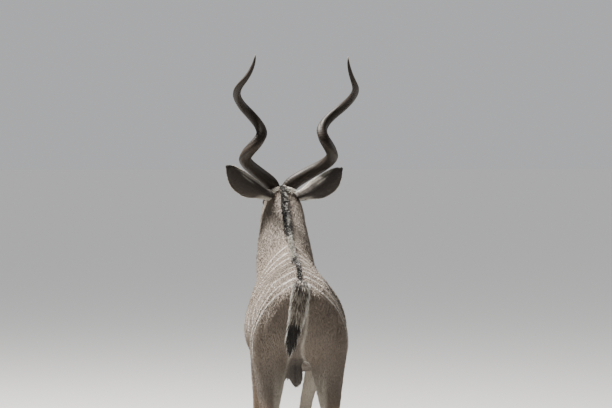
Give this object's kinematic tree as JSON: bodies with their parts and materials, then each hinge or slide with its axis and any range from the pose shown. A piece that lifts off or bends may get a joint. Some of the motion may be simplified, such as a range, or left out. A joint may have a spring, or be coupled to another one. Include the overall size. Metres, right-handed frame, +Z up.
{
  "type": "greater kudu bull, standing life-size animal model",
  "caption": "Life-size still model of a standing greater kudu bull with spiral horns, mane, throat fringe and hanging tail.",
  "frame": {"origin": "on the floor, under the middle of the box round the whole animal", "axes": "+Z up, +Y the way the body faces, +X the animal's right side"},
  "size_m": [0.7058, 1.995, 2.3666],
  "materials": {
    "body_coat": "short matt grey-brown hair with thin white stripes over the flanks",
    "leg_coat": "short matt tawny hair",
    "ear_coat": "short matt dark hair behind, pale hair inside and along the rim",
    "tail_coat": "long grizzled hair with a black tuft",
    "horn_sheath": "ridged horn, satin, worn smooth and pale at the tips",
    "hoof_horn": "dark horn, satin",
    "eyeball": "wet dark brown"
  },
  "bodies": {
    "root": {"torso": "body_coat", "neck": "body_coat", "head": "body_coat", "eye_left": "eyeball", "horn_left": "horn_sheath", "ear_left": "ear_coat", "eye_right": "eyeball", "horn_right": "horn_sheath", "ear_right": "ear_coat", "leg_hind_left": "leg_coat", "claw_hind_left_inner": "hoof_horn", "dewclaw_hind_left_inner": "hoof_horn", "claw_hind_left_outer": "hoof_horn", "dewclaw_hind_left_outer": "hoof_horn", "leg_fore_left": "leg_coat", "claw_fore_left_inner": "hoof_horn", "dewclaw_fore_left_inner": "hoof_horn", "claw_fore_left_outer": "hoof_horn", "dewclaw_fore_left_outer": "hoof_horn", "leg_hind_right": "leg_coat", "claw_hind_right_inner": "hoof_horn", "dewclaw_hind_right_inner": "hoof_horn", "claw_hind_right_outer": "hoof_horn", "dewclaw_hind_right_outer": "hoof_horn", "leg_fore_right": "leg_coat", "claw_fore_right_inner": "hoof_horn", "dewclaw_fore_right_inner": "hoof_horn", "claw_fore_right_outer": "hoof_horn", "dewclaw_fore_right_outer": "hoof_horn", "tail": "tail_coat"}
  },
  "joints": []
}
